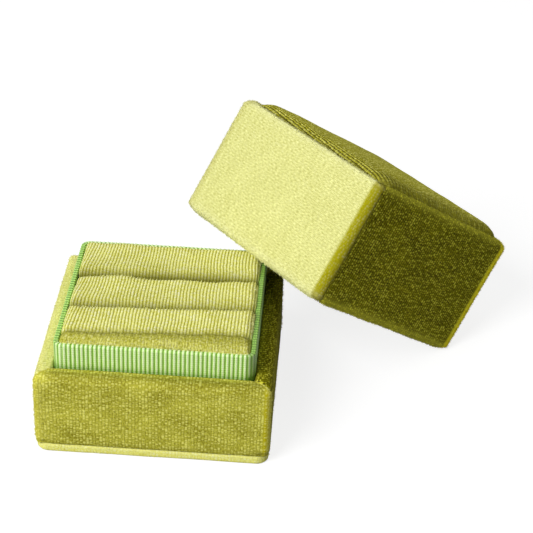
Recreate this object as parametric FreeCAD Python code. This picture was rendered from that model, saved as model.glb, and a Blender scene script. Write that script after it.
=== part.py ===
import FreeCAD, Part
import math
import os

from FreeCAD import Placement, Rotation, Vector

# Double ring box: a velvet base with a ribboned neck and a cushion of three bars, and a lift-off
# lid with a padded top. The origin is the middle of the base's underside, the front faces -Y, and
# the lid leans on the cushion at the neck's back right corner with one rim edge on the table.

# Overall sizes, in millimetres
box_width = 56.0  # outside of the base and of the lid, over the velvet
base_height = 21.4  # table to the ledge round the neck
neck_rise = 6.8  # neck above the ledge
lid_height = 33.6  # rim to the top edge of the lid's walls
dome_rise = 2.2  # crown of the padded top above those edges

# Sheet materials
velvet = 0.9  # velvet with its pile
ribbon = 0.3  # grosgrain ribbon
base_board = 2.4  # greyboard in the base's walls
floor_board = 2.0  # greyboard floor of the base
top_board = 2.0  # greyboard top of the lid
plate_board = 1.5  # greyboard in the bottom plate
neck_card = 0.5  # folded card behind the ribbon
pad_card = 1.0  # card under the padded top

# Fits between pieces
plate_inset = 0.2  # bottom plate behind the walls, each side
neck_fit = 0.1  # neck inside the base's walls, each side
lid_fit = 0.35  # lid over the neck, each side
pad_fit = 0.15  # padded top inside the wall edges, each side
cushion_fit = 0.15  # cushion inside the neck, each side
lean_clearance = 1.7  # leaning rim above the top of the neck, clear of the cushion's crown

# Edges and seams of the velvet
corner_round = 1.5  # upright corners
seam_land = 0.5  # from the end of a rounded corner to its seam
seam_round = 0.35  # edges that meet at a seam
seam_wrap = 0.5  # velvet turned round the end of a board
shoulder_round = 2.2  # outer edge of the ledge
ledge_round = 0.8  # inner edge of the ledge
foot_round = 0.5  # lower edge of the base's walls
plate_round = 0.7  # edges of the bottom plate
rim_round = 1.6  # both edges of the lid's rim
lip_round = 0.8  # top edges of the lid's walls
rim_turn_in = 8.0  # velvet turned into the lid
lip_height = 2.0  # wall edges above the seat of the padded top

# Neck and its ribbon
neck_corner = 2.2  # outer corner radius
ribbon_tuck = 4.0  # ribbon below the ledge
ribbon_turn_in = 4.5  # ribbon folded into the neck
ribbon_edge_round = 0.25

# Cushion bars and the padded top
bar_names = ("front", "middle", "back")
slot_width = 0.8  # slot between two bars, at their ends
bar_crown = 1.4  # crown above the neck
bar_shoulder = 1.7  # height of the rounded top of a bar
bar_roll = 2.0  # width of that rounding
bar_corner = 1.4
bar_draw_in = 0.25  # sides drawn in at their middle
channel_from_front = 3.0  # tucked channel along the front bar
channel_radius = 1.2
channel_depth = 1.0
dome_roll = 12.5  # width of the padded top's rounded shoulder
dome_corner = 3.5
dome_spread = 0.5  # growth of the corner radius for each millimetre up the shoulder
dome_draw_in = 0.3
roll_angles = (0.0, 14.0, 28.0, 42.0, 56.0, 70.0, 82.0)  # stations up a rounded shoulder, in degrees
tightest_round = 0.9  # largest corner radius of a section, as a share of its half width

# Lean of the lid
lean_yaw = 39.8  # plan direction from the base to the edge on the table, from +X, in degrees
lean_overlap = 4.0  # line of contact inside the neck's corner
lean_offset = -1.55  # middle of the lid along its horizontal edges

# Sizes worked out from the ones above
half = box_width / 2
base_wall = velvet + base_board + velvet
plate_height = velvet + plate_board
base_inside = half - base_wall
floor_top = plate_height + floor_board
neck_half = base_inside - neck_fit
neck_top = base_height + neck_rise
card_half = neck_half - ribbon
neck_inside = card_half - neck_card - ribbon
lid_inside = neck_half + lid_fit
lid_wall = half - lid_inside
lining = velvet  # lining panels lie flush with the turned-in velvet
lid_board_inside = lid_inside + lining
pad_seat = lid_height - lip_height
lip_width = 2 * velvet
ceiling = pad_seat - top_board - lining
pad_half = half - lip_width - pad_fit
corner_seam = corner_round + seam_land
bar_top = neck_top + bar_crown
bar_length = 2 * (neck_inside - cushion_fit)
bar_width = (bar_length - (len(bar_names) - 1) * slot_width) / len(bar_names)
side_turns = {"front": 0.0, "right": 90.0, "back": 180.0, "left": 270.0}
level_tolerance = 1e-6

parts = {}


# Plane outlines

def toward(start, end, distance):
    """Point at a distance from start on the way to end."""
    way = end - start
    return start + way * (distance / way.Length)


def outline(points, radii):
    """Closed wire through the points in XY, each corner rounded by its radius."""
    corners = [Vector(x, y, 0) for x, y in points]
    edges = []
    leaving = []
    arriving = []
    for index, corner in enumerate(corners):
        before = corners[index - 1]
        after = corners[(index + 1) % len(corners)]
        radius = radii[index]
        if radius == 0:
            arriving.append(corner)
            leaving.append(corner)
            continue
        angle = (before - corner).getAngle(after - corner)
        tangent = radius / math.tan(angle / 2)
        first = toward(corner, before, tangent)
        last = toward(corner, after, tangent)
        middle = (first + last) * 0.5
        centre = toward(corner, middle, radius / math.sin(angle / 2))
        edges.append(Part.Arc(first, toward(centre, corner, radius), last).toShape())
        arriving.append(first)
        leaving.append(last)
    for index in range(len(corners)):
        following = (index + 1) % len(corners)
        edges.append(Part.LineSegment(leaving[index], arriving[following]).toShape())
    return Part.Wire(Part.__sortEdges__(edges))


def inset(points, distances):
    """Anticlockwise outline with each edge moved inwards by its own distance."""
    moved = []
    for index, distance in enumerate(distances):
        start = Vector(*points[index], 0)
        way = (Vector(*points[(index + 1) % len(points)], 0) - start).normalize()
        moved.append((start + Vector(-way.y, way.x, 0) * distance, way))
    corners = []
    for index in range(len(points)):
        (first, first_way), (second, second_way) = moved[index - 1], moved[index]
        turn = first_way.x * second_way.y - first_way.y * second_way.x
        gap = second - first
        reach = (gap.x * second_way.y - gap.y * second_way.x) / turn
        meeting = first + first_way * reach
        corners.append((meeting.x, meeting.y))
    return corners


def upright(points, radii, bottom, top):
    """Plan outline raised from bottom to top."""
    face = Part.Face(outline(points, radii))
    face.translate(Vector(0, 0, bottom))
    return face.extrude(Vector(0, 0, top - bottom))


def along_x(points, radii, length):
    """Outline in Y and Z drawn out along X, half of the length each way."""
    face = Part.Face(outline(points, radii))
    face.Placement = Placement(Vector(-length / 2, 0, 0), Rotation(Vector(1, 1, 1), 120))
    return face.extrude(Vector(length, 0, 0))


def along_y(points, radii, length):
    """Outline in X and Z drawn out along Y, half of the length each way."""
    face = Part.Face(outline(points, radii))
    face.Placement = Placement(Vector(0, length / 2, 0), Rotation(Vector(1, 0, 0), 90))
    return face.extrude(Vector(0, -length, 0))


def rectangle(x_low, y_low, x_high, y_high):
    return [(x_low, y_low), (x_high, y_low), (x_high, y_high), (x_low, y_high)]


def block(half_x, half_y, bottom, top, corner=0.0):
    """Upright block about the Z axis with rounded corners."""
    return upright(rectangle(-half_x, -half_y, half_x, half_y), [corner] * 4, bottom, top)


def turned(shape, angle):
    """Copy of a shape turned about the Z axis."""
    copy = shape.copy()
    copy.rotate(Vector(0, 0, 0), Vector(0, 0, 1), angle)
    return copy


def round_edges(shape, radius, levels):
    """Round the edges that lie flat at the given heights."""
    flat = []
    for edge in shape.Edges:
        box = edge.BoundBox
        if any(max(abs(box.ZMin - level), abs(box.ZMax - level)) < level_tolerance for level in levels):
            flat.append(edge)
    return shape.makeFillet(radius, flat)


# Walls: the front and back ones turn round the corners and the side ones stand between them

def wall_plan(side, inside):
    """Plan of the wall on the -Y side, with the distance that its board stands in from each edge."""
    seam = half - corner_seam
    if side in ("front", "back"):
        points = [(-half, -half), (half, -half), (half, -seam), (inside, -inside), (-inside, -inside),
                  (-half, -seam)]
        radii = [corner_round, corner_round, seam_round, 0, 0, seam_round]
        board_insets = [velvet, velvet, seam_wrap, velvet, seam_wrap, velvet]
    else:
        points = [(-seam, -half), (seam, -half), (inside, -inside), (-inside, -inside)]
        radii = [seam_round, seam_round, 0, 0]
        board_insets = [velvet, seam_wrap, velvet, seam_wrap]
    return points, radii, board_insets


def wrapped_wall(side, inside, profile, profile_radii, ends, ends_radii, board_low, board_high):
    """Velvet panel and the board inside it, for one side."""
    points, radii, board_insets = wall_plan(side, inside)
    heights = [z for _, z in profile]
    skin = upright(points, radii, min(heights), max(heights))
    skin = skin.common(along_x(profile, profile_radii, box_width))
    skin = skin.common(along_y(ends, ends_radii, box_width))
    board = upright(inset(points, board_insets), [0] * len(points), board_low, board_high)
    angle = side_turns[side]
    return turned(skin.cut(board), angle), turned(board, angle)


# Cushion forms

def drawn_in_section(half_x, half_y, corner, draw_in, height):
    """Rounded rectangle whose sides bow inwards."""
    straight = half_x - corner
    depth = half_y - corner
    slant = corner * math.sqrt(0.5)
    edges = []
    for side in (-1, 1):
        long_side = ((-straight, half_y), (0, half_y - draw_in), (straight, half_y))
        edges.append(Part.Arc(*(Vector(x, side * y, height) for x, y in long_side)).toShape())
        short_side = ((half_x, -depth), (half_x - draw_in, 0), (half_x, depth))
        edges.append(Part.Arc(*(Vector(side * x, y, height) for x, y in short_side)).toShape())
    for x_side in (-1, 1):
        for y_side in (-1, 1):
            centre = Vector(x_side * straight, y_side * depth, height)
            bend = ((0, corner), (slant, slant), (corner, 0))
            edges.append(Part.Arc(*(centre + Vector(x_side * x, y_side * y, 0) for x, y in bend)).toShape())
    return Part.Wire(Part.__sortEdges__(edges))


def pillow(half_x, half_y, corner, spread, draw_in, bottom, crown, shoulder, roll, skin):
    """Crowned pad, or its filling where a skin thickness is taken off its sides and top."""
    shoulder_level = crown - skin - shoulder
    sections = []
    for angle in map(math.radians, roll_angles):
        run = (roll - skin) * (1 - math.cos(angle))
        reach_x = half_x - skin - run
        reach_y = half_y - skin - run
        radius = min(corner + spread * run, tightest_round * min(reach_x, reach_y))
        level = shoulder_level + shoulder * math.sin(angle)
        sections.append(drawn_in_section(reach_x, reach_y, radius, draw_in, level))
    foot = Part.Face(sections[0]).extrude(Vector(0, 0, bottom - shoulder_level))
    return foot.fuse(Part.makeLoft(sections, True, False)).removeSplitter()


# Base

def bottom_plate():
    reach = half - plate_inset
    skin = block(reach, reach, 0, plate_height, corner_round)
    skin = round_edges(skin, plate_round, (0, plate_height))
    board = block(reach - velvet, reach - velvet, velvet, plate_height)
    parts["bottom_plate_velvet"] = skin.cut(board)
    parts["bottom_plate_board"] = board


def base_walls():
    inner = -base_inside
    profile = rectangle(-half, plate_height, inner, base_height)
    profile_radii = [foot_round, 0, ledge_round, shoulder_round]
    ends = rectangle(-half, plate_height, half, base_height)
    ends_radii = [foot_round, foot_round, shoulder_round, shoulder_round]
    for side in side_turns:
        skin, board = wrapped_wall(side, base_inside, profile, profile_radii, ends, ends_radii,
                                   plate_height, base_height - velvet)
        parts["base_velvet_" + side] = skin
        parts["base_board_" + side] = board
    parts["base_floor_board"] = block(base_inside, base_inside, plate_height, floor_top)


def neck():
    card_inside = card_half - neck_card
    card_corner = neck_corner - ribbon
    card_top = neck_top - ribbon
    card_block = block(card_half, card_half, floor_top, card_top, card_corner)
    bore_corner = max(card_corner - neck_card, 0)
    bore = block(card_inside, card_inside, floor_top, card_top, bore_corner)
    card = card_block.cut(bore)
    ribbon_foot = base_height - ribbon_tuck
    band = block(neck_half, neck_half, ribbon_foot, neck_top, neck_corner)
    band = round_edges(band, ribbon_edge_round, (neck_top,))
    opening_corner = max(bore_corner - ribbon, 0)
    band = band.cut(block(neck_inside, neck_inside, ribbon_foot, neck_top, opening_corner))
    below_turn_in = block(card_half, card_half, ribbon_foot, neck_top - ribbon_turn_in, card_corner)
    parts["neck_card"] = card
    parts["neck_ribbon"] = band.cut(below_turn_in).cut(card)


def channel(middle, skin):
    """Rounded cutter for the tucked channel along the front bar."""
    level = bar_top - channel_depth + channel_radius
    line = -bar_length / 2 + channel_from_front - middle
    start = Vector(-bar_length, line, level)
    return Part.makeCylinder(channel_radius + skin, 2 * bar_length, start, Vector(1, 0, 0))


def cushion():
    step = bar_width + slot_width
    for index, name in enumerate(bar_names):
        middle = (index - (len(bar_names) - 1) / 2) * step
        shape = (bar_length / 2, bar_width / 2, bar_corner, 0, bar_draw_in, floor_top, bar_top, bar_shoulder)
        cover = pillow(*shape, bar_roll, 0)
        filling = pillow(*shape, bar_roll, velvet)
        if name == "front":
            cover = cover.cut(channel(middle, 0))
            filling = filling.cut(channel(middle, velvet))
        for kind, solid in (("velvet", cover.cut(filling)), ("foam", filling)):
            solid.translate(Vector(0, middle, 0))
            parts["cushion_" + kind + "_" + name] = solid


# Lid, modelled upright on its rim and then leaned

def lid_walls():
    inner = -lid_inside
    board_inner = -lid_board_inside
    lip_inner = -half + lip_width
    profile = [(-half, 0), (inner, 0), (inner, rim_turn_in), (board_inner, rim_turn_in),
               (board_inner, pad_seat), (lip_inner, pad_seat), (lip_inner, lid_height), (-half, lid_height)]
    profile_radii = [rim_round, rim_round, 0, 0, 0, 0, lip_round, lip_round]
    ends = rectangle(-half, 0, half, lid_height)
    ends_radii = [rim_round, rim_round, lip_round, lip_round]
    walls = {}
    for side in side_turns:
        skin, board = wrapped_wall(side, lid_inside, profile, profile_radii, ends, ends_radii,
                                   velvet, pad_seat)
        walls["lid_velvet_" + side] = skin
        walls["lid_board_" + side] = board
    return walls


def lid_linings():
    linings = {}
    long_reach = lid_board_inside
    short_reach = lid_inside
    for side, angle in side_turns.items():
        reach = long_reach if side in ("front", "back") else short_reach
        plan = rectangle(-reach, -lid_board_inside, reach, -lid_inside)
        linings["lid_lining_" + side] = turned(upright(plan, [0] * 4, rim_turn_in, ceiling), angle)
    linings["lid_ceiling_lining"] = block(long_reach, long_reach, ceiling, ceiling + lining)
    linings["lid_top_board"] = block(long_reach, long_reach, ceiling + lining, pad_seat)
    return linings


def padded_top():
    crown = lid_height + dome_rise
    shoulder = crown - pad_seat - pad_card - velvet
    shape = (pad_half, pad_half, dome_corner, dome_spread, dome_draw_in, pad_seat, crown, shoulder)
    cover = pillow(*shape, dome_roll, 0)
    filling = pillow(*shape, dome_roll, velvet)
    card_block = block(half, half, pad_seat, pad_seat + pad_card)
    return {
        "dome_velvet": cover.cut(filling),
        "dome_board": filling.common(card_block),
        "dome_foam": filling.cut(card_block),
    }


def lean():
    """Place of the lid: one rim edge on the table, the other over the neck's back right corner."""
    run = box_width - lid_wall
    tilt = math.asin((neck_top + lean_clearance) / run)
    yaw = math.radians(lean_yaw)
    downhill = Vector(math.cos(yaw), math.sin(yaw), 0)
    level = Vector(math.sin(yaw), -math.cos(yaw), 0)
    corner = (neck_half - neck_corner) * (downhill.x + downhill.y) + neck_corner
    contact_shift = rim_round * (math.cos(tilt) - math.sin(tilt))
    edge_reach = corner - lean_overlap + contact_shift + run * math.cos(tilt)
    edge_drop = rim_round * (math.sin(tilt) + math.cos(tilt) - 1)
    edge = downhill * edge_reach + level * lean_offset - Vector(0, 0, edge_drop)
    turn = Rotation(Vector(0, 0, 1), lean_yaw - 90) * Rotation(Vector(1, 0, 0), -math.degrees(tilt))
    return Placement(edge - turn.multVec(Vector(0, half, 0)), turn)


def lid():
    place = lean()
    for pieces in (lid_walls(), lid_linings(), padded_top()):
        for name, solid in pieces.items():
            solid.Placement = place * solid.Placement
            parts[name] = solid


bottom_plate()
base_walls()
neck()
cushion()
lid()

os.makedirs("parts", exist_ok=True)
for name, shape in parts.items():
    shape.exportStep("parts/" + name + ".step")
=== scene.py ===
import math

import bpy
import bmesh
import numpy as np
from mathutils import Matrix, Vector


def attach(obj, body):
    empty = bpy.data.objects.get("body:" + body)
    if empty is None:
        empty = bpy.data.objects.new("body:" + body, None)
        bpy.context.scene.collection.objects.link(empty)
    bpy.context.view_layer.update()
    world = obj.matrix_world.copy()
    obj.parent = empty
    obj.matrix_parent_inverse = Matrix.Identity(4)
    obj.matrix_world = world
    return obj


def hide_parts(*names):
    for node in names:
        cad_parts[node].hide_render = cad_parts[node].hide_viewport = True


# Velvet double ring box with its lid leaning on the neck. Sizes are in millimetres, meshes in metres.

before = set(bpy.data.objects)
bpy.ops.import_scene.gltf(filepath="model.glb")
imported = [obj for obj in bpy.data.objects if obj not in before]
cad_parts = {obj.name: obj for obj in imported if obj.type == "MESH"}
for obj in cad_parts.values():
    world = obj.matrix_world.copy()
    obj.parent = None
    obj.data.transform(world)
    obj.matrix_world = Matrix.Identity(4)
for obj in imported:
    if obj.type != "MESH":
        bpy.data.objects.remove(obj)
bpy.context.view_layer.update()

MM = 0.001
LEVEL_LIMIT = 1e-3  # a face normal with less rise than this is level
QUARTER = math.pi / 2
TURN = 2 * math.pi


# Sizes read from the frame

def extent(node, place=Matrix.Identity(4)):
    """Lowest and highest corner of a CAD node, seen from a local frame."""
    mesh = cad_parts[node].data
    points = np.empty(len(mesh.vertices) * 3)
    mesh.vertices.foreach_get("co", points)
    inverse = np.array(place.inverted())
    local = points.reshape(-1, 3) @ inverse[:3, :3].T + inverse[:3, 3]
    return local.min(0) / MM, local.max(0) / MM


def lid_place():
    """Frame of the leaning lid: its rim's middle, with Z through the padded top and X level."""
    normals = [face.normal.copy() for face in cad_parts["lid_top_board"].data.polygons]
    up = max(normals, key=lambda normal: normal.z)
    level = max((n for n in normals if abs(n.z) < LEVEL_LIMIT), key=lambda normal: normal.x)
    turn = Matrix((level, up.cross(level), up)).transposed().to_4x4()
    low, high = extent("lid_top_board", turn)
    rim = extent("lid_velvet_front", turn)[0][2]
    middle = Vector(((low[0] + high[0]) / 2, (low[1] + high[1]) / 2, rim)) * MM
    return turn @ Matrix.Translation(middle)


BASE = Matrix.Identity(4)
LID = lid_place()

wall_low, wall_high = extent("base_velvet_front")
ribbon_low, ribbon_high = extent("neck_ribbon")
bar_low, bar_high = extent("cushion_velvet_middle")
lining_low, lining_high = extent("lid_lining_front", LID)
pad_low, pad_high = extent("dome_velvet", LID)

half = wall_high[0]
velvet = half + extent("base_board_front")[0][1]
base_inside = -wall_high[1]
base_wall = half - base_inside
plate_top = wall_low[2]
plate_half = extent("bottom_plate_velvet")[1][0]
ledge = wall_high[2]
neck_half = ribbon_high[0]
neck_top = ribbon_high[2]
ribbon_foot = ribbon_low[2]
ribbon = neck_half - extent("neck_card")[1][0]
lid_inside = -lining_high[1]
lid_wall = half - lid_inside
lid_top = extent("lid_velvet_front", LID)[1][2]
rim_turn_in = lining_low[2]
pad_seat = pad_low[2]
pad_half = pad_high[0]
pad_crown = pad_high[2]
bar_bottom = bar_low[2]
bar_crown = bar_high[2]
bar_half_length = bar_high[0]
bar_half_width = bar_high[1]

# Rounds, seams and folds of the cloth
corner_round = 1.5
seam_land = 0.3
seam_round = 0.4
seam_gap = 0.06
shoulder_round = 2.2
ledge_round = 0.8
foot_round = 0.5
plate_round = 0.7
rim_round = 1.6
lip_round = 0.6
lip_width = 2 * velvet
lip_sink = 1.1
lip_flange = 1.3
flange_rise = 0.2
ledge_pile = 0.6
neck_corner = 2.2
neck_wall = 1.1
ribbon_turn_in = 4.5
ribbon_edge = 0.25
least_round = 0.15
closing_round = 0.02
bar_shoulder = 1.7
bar_roll = 2.0
bar_corner = 1.4
pad_edge = 2.2
pad_roll = 12.5
pad_corner = 5.0
corner_softness = 1.2
gather_reach = 2.5
gather_depth = 1.8
soft_depth = 6.0
tuck_length = 1.0
tuck_width = 0.45
tuck_place = 0.5
tuck_height = 0.7
tuck_depth = 0.3
tuck_shade = 0.6
turn_steps = 10
land_steps = 6
arc_least_steps = 4
corner_least_steps = 6
plate_corner = 3.0
lining_round = 0.2
lining_step = 0.8

# Swelling of the pads, in a cloth simulation
SWELL_UNIT = 0.05  # metres there for a millimetre here
swell_frames = 20
swell_columns = 7
swell_rows = 3
swell_pressure = 3.0
swell_slack = 0.02
bar_swell = 0.4
pad_swell = 0.7
pad_sink = 1.1
swell_start = 0.5  # share of the swelling that a pad's top starts below its form
row_crowding = 0.86
side_rows = 5

# Weave of the cloths
wale_pitch = 0.78
pad_wale_pitch = 1.0
wale_samples = 5
wale_fan = 0.1
wale_fan_reach = 8.0
waver_scale = 0.12
stitch_length = 0.62
stitch_slant = 0.5
stitch_stagger = 0.31
rib_pitch = 1.03
rib_samples = 8
shown_step = 0.3
ribbon_step = 0.6
hidden_step = 3.0
arc_step = 0.2
edge_soft = 0.7
bend_reach = 1.0
base_band = 3.1
lid_band = 4.1
shaded_seam = 0.2
edge_bias = 1.4
tuft_least = 0.5
tuft_most = 1.2
fuzz_edge = 0.3
fuzz_nap = 1.5
rib_flatness = 0.6
ledge_shade = 0.6
ledge_shade_reach = 0.8
right_shade = 0.45

# Offsets of the noise, so that no two pieces share it
WALL_SEED = 5.0
LID_SEED = 100.0
PLATE_SEED = 40.0
BAR_SEED = 11.0
PAD_SEED = 70.0


# Node trees written as expressions

class Value:
    """A socket in a node tree, with the arithmetic that the finishes and the pile need."""

    def __init__(self, tree, socket):
        self.tree = tree
        self.socket = socket

    def math(self, operation, *terms):
        inputs = dict(enumerate(terms))
        return self.tree.node("ShaderNodeMath", {"operation": operation}, inputs)

    def __abs__(self):
        return self.math("ABSOLUTE", self)

    def sine(self):
        return self.math("SINE", self)

    def whole(self):
        return self.math("FLOOR", self)

    def above_zero(self):
        return self.math("MAXIMUM", self, 0.0)


def arithmetic(operation, swapped):
    """Method of a value for one operation with a number or another value, which comes first if swapped."""
    def method(self, other):
        return self.math(operation, *((other, self) if swapped else (self, other)))
    return method


OPERATIONS = {"add": "ADD", "sub": "SUBTRACT", "mul": "MULTIPLY", "truediv": "DIVIDE", "pow": "POWER"}
for word, operation in OPERATIONS.items():
    setattr(Value, f"__{word}__", arithmetic(operation, False))
    setattr(Value, f"__r{word}__", arithmetic(operation, True))


class Tree:
    """Node tree whose nodes are added by one method."""

    def __init__(self, tree):
        self.tree = tree

    def node(self, kind, settings=None, inputs=None, output=0):
        node = self.tree.nodes.new(kind)
        for key, value in (settings or {}).items():
            if key == "stops":
                self.set_stops(node.color_ramp, value)
            else:
                setattr(node, key, value)
        for key, value in (inputs or {}).items():
            if isinstance(value, Value):
                self.tree.links.new(value.socket, node.inputs[key])
            else:
                node.inputs[key].default_value = value
        return Value(self, node.outputs[output]) if node.outputs else None

    @staticmethod
    def set_stops(ramp, stops):
        for index, (position, colour) in enumerate(stops):
            stop = ramp.elements[index] if index < 2 else ramp.elements.new(position)
            stop.position = position
            stop.color = (*colour, 1)

    def vector(self, x, y, z=0.0):
        return self.node("ShaderNodeCombineXYZ", {}, {0: x, 1: y, 2: z})

    def parts(self, vector):
        node = self.node("ShaderNodeSeparateXYZ", {}, {0: vector}).socket.node
        return [Value(self, socket) for socket in node.outputs]

    def noise(self, vector, scale, detail=2.0, roughness=0.5):
        inputs = {"Vector": vector, "Scale": scale, "Detail": detail, "Roughness": roughness}
        return self.node("ShaderNodeTexNoise", {}, inputs)

    def between(self, value, low, high, to_low=0.0, to_high=1.0):
        """Smooth step of a value from one range to another, held at the ends."""
        inputs = {0: value, 1: low, 2: high, 3: to_low, 4: to_high}
        return self.node("ShaderNodeMapRange", {"interpolation_type": "SMOOTHSTEP"}, inputs)

    def stitches(self, turn, along):
        """Slanting stitches along each rib, from -1 to 1."""
        slant = (turn - turn.whole()) * stitch_slant + turn.whole() * stitch_stagger
        return ((along / stitch_length + slant) * TURN).sine()

    def mix(self, share, first, second):
        """Colour between two colours."""
        first = first if isinstance(first, Value) else (*first, 1)
        second = second if isinstance(second, Value) else (*second, 1)
        inputs = {0: share, 6: first, 7: second}
        return self.node("ShaderNodeMix", {"data_type": "RGBA"}, inputs, 2)


# Cloth and pile raised by geometry nodes

def new_group(title, sizes):
    """Geometry tree with a float input for each size and one for the finish, and its given sockets."""
    group = bpy.data.node_groups.new(title, "GeometryNodeTree")
    face = group.interface
    face.new_socket("Geometry", in_out="INPUT", socket_type="NodeSocketGeometry")
    for size in sizes:
        face.new_socket(size, in_out="INPUT", socket_type="NodeSocketFloat")
    face.new_socket("Finish", in_out="INPUT", socket_type="NodeSocketMaterial")
    face.new_socket("Geometry", in_out="OUTPUT", socket_type="NodeSocketGeometry")
    tree = Tree(group)
    source = tree.node("NodeGroupInput").socket.node
    given = {socket.name: Value(tree, socket) for socket in source.outputs if socket.name}
    return group, tree, given


def close_group(tree, geometry, finish):
    real = tree.node("GeometryNodeRealizeInstances", {}, {"Geometry": geometry})
    done = tree.node("GeometryNodeSetMaterial", {}, {"Geometry": real, "Material": finish})
    tree.node("NodeGroupOutput", {}, {0: done})


def named(tree, name):
    kind = {"data_type": "FLOAT_VECTOR"}
    return tree.parts(tree.node("GeometryNodeInputNamedAttribute", kind, {"Name": name}))


def cloth_tree():
    """Raises ribs, stitches along them, a fuzzy nap and a slack unevenness on a sheet that carries the
    attributes cloth (across the ribs, along them, offset of the noise) and pile (share of the ribs,
    share of the nap, nearness to an edge, where the finish paints a highlight, and below zero where it
    paints shade). Keeps the count of ribs as wale."""
    sizes = ("Rib Pitch", "Rib Height", "Rib Roundness", "Waver", "Stitch Height", "Nap Width",
             "Nap Length", "Nap Height", "Edge Nap", "Slack Size", "Slack Height")
    group, tree, given = new_group("raised_cloth", sizes)
    across, along, offset = named(tree, "cloth")
    rib_share, nap_share, edge = named(tree, "pile")
    place = tree.vector(across, along, offset)
    waver = (tree.noise(place, waver_scale, 1.0) - 0.5) * given["Waver"]
    turn = (across + waver) / given["Rib Pitch"]
    rib = (abs((turn * math.pi).sine()) ** given["Rib Roundness"] - 0.5) * given["Rib Height"]
    stitches = tree.stitches(turn, along) * given["Stitch Height"]
    nap_place = tree.vector(across / given["Nap Width"], along / given["Nap Length"], offset)
    nap_height = given["Nap Height"] + edge.above_zero() * given["Edge Nap"]
    nap = (tree.noise(nap_place, 1.0, 2.0) - 0.5) * nap_height * 2
    slack = (tree.noise(place, 1 / given["Slack Size"], 1.0) - 0.5) * given["Slack Height"] * 2
    rise = ((rib + stitches) * rib_share + (nap + slack) * nap_share) * MM
    normal = tree.node("GeometryNodeInputNormal")
    lift = tree.node("ShaderNodeVectorMath", {"operation": "SCALE"}, {0: normal, "Scale": rise})
    counted = tree.node("GeometryNodeStoreNamedAttribute", {"data_type": "FLOAT", "domain": "POINT"},
                        {"Geometry": given["Geometry"], "Name": "wale", "Value": turn})
    raised = tree.node("GeometryNodeSetPosition", {}, {"Geometry": counted, "Offset": lift})
    close_group(tree, raised, given["Finish"])
    return group


def pile_tree():
    """Short tufts of pile that stand out along the edges of a sheet."""
    group, tree, given = new_group("edge_pile", ("Density", "Tuft Length", "Tuft Width", "Lean", "Seed"))
    edge = named(tree, "pile")[2].above_zero()
    density = edge ** edge_bias * given["Density"]
    inputs = {"Mesh": given["Geometry"], "Density": density, "Seed": given["Seed"]}
    spread = tree.node("GeometryNodeDistributePointsOnFaces", {}, inputs).socket.node
    inputs = {"Vertices": 3, "Radius Top": 0.0, "Radius Bottom": given["Tuft Width"],
              "Depth": given["Tuft Length"]}
    tuft = tree.node("GeometryNodeMeshCone", {"fill_type": "NONE"}, inputs)
    lean = tree.vector(given["Lean"], given["Lean"], math.pi)
    back = tree.node("ShaderNodeVectorMath", {"operation": "SCALE"}, {0: lean, "Scale": -1.0})
    tilt = tree.node("FunctionNodeRandomValue", {"data_type": "FLOAT_VECTOR"}, {0: back, 1: lean})
    tilt = tree.node("FunctionNodeEulerToRotation", {}, {0: tilt})
    upright = Value(tree, spread.outputs["Rotation"])
    aim = tree.node("FunctionNodeRotateRotation", {"rotation_space": "LOCAL"}, {0: upright, 1: tilt})
    size = tree.node("FunctionNodeRandomValue", {"data_type": "FLOAT"}, {2: tuft_least, 3: tuft_most}, 1)
    points = Value(tree, spread.outputs["Points"])
    inputs = {"Points": points, "Instance": tuft, "Rotation": aim, "Scale": size}
    close_group(tree, tree.node("GeometryNodeInstanceOnPoints", {}, inputs), given["Finish"])
    return group


CLOTH_TREE = cloth_tree()
PILE_TREE = pile_tree()
FLAT_CLOTH = {"Rib Pitch": wale_pitch, "Rib Height": 0.0, "Rib Roundness": 1.0, "Waver": 0.0,
              "Stitch Height": 0.0, "Nap Width": 0.3, "Nap Length": 0.45, "Nap Height": 0.0,
              "Edge Nap": 0.0, "Slack Size": 9.0, "Slack Height": 0.0}
WALL_CLOTH = {**FLAT_CLOTH, "Rib Height": 0.025, "Waver": 0.6, "Nap Height": 0.045, "Edge Nap": 0.18,
              "Slack Height": 0.12}
BAR_CLOTH = {**FLAT_CLOTH, "Rib Height": 0.12, "Rib Roundness": 0.7, "Waver": 0.5, "Stitch Height": 0.035,
             "Nap Height": 0.04, "Edge Nap": 0.1, "Slack Height": 0.2}
PAD_CLOTH = {**FLAT_CLOTH, "Rib Pitch": pad_wale_pitch, "Rib Height": 0.2, "Waver": 0.6, "Nap Height": 0.05,
             "Slack Height": 0.2}
RIBBON_CLOTH = {**FLAT_CLOTH, "Rib Height": 0.2, "Rib Roundness": 1.1, "Slack Height": 0.05}
LINING_CLOTH = {**FLAT_CLOTH, "Nap Height": 0.02, "Slack Height": 0.1}
EDGE_PILE = {"Density": 9e6, "Tuft Length": 0.45 * MM, "Tuft Width": 0.07 * MM, "Lean": 0.7}


def grown(obj, group, sizes, finish):
    """Plain mesh that a geometry tree makes of the object, with the finish on it."""
    modifier = obj.modifiers.new("cloth", "NODES")
    modifier.node_group = group
    inputs = {item.name: item.identifier for item in group.interface.items_tree if item.in_out == "INPUT"}
    for name, size in sizes.items():
        modifier[inputs[name]] = size
    modifier[inputs["Finish"]] = finish
    bpy.context.view_layer.update()
    graph = bpy.context.evaluated_depsgraph_get()
    mesh = bpy.data.meshes.new_from_object(obj.evaluated_get(graph), depsgraph=graph)
    obj.modifiers.remove(modifier)
    return mesh


def raised(obj, sizes, finish):
    """Raises the ribs and the nap of an object's cloth for good."""
    mesh = grown(obj, CLOTH_TREE, sizes, finish)
    plain = obj.data
    obj.data = mesh
    bpy.data.meshes.remove(plain)
    mesh.name = obj.name
    mesh.shade_smooth()


def new_object(name, mesh):
    obj = bpy.data.objects.new(name, mesh)
    bpy.context.scene.collection.objects.link(obj)
    return obj


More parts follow.
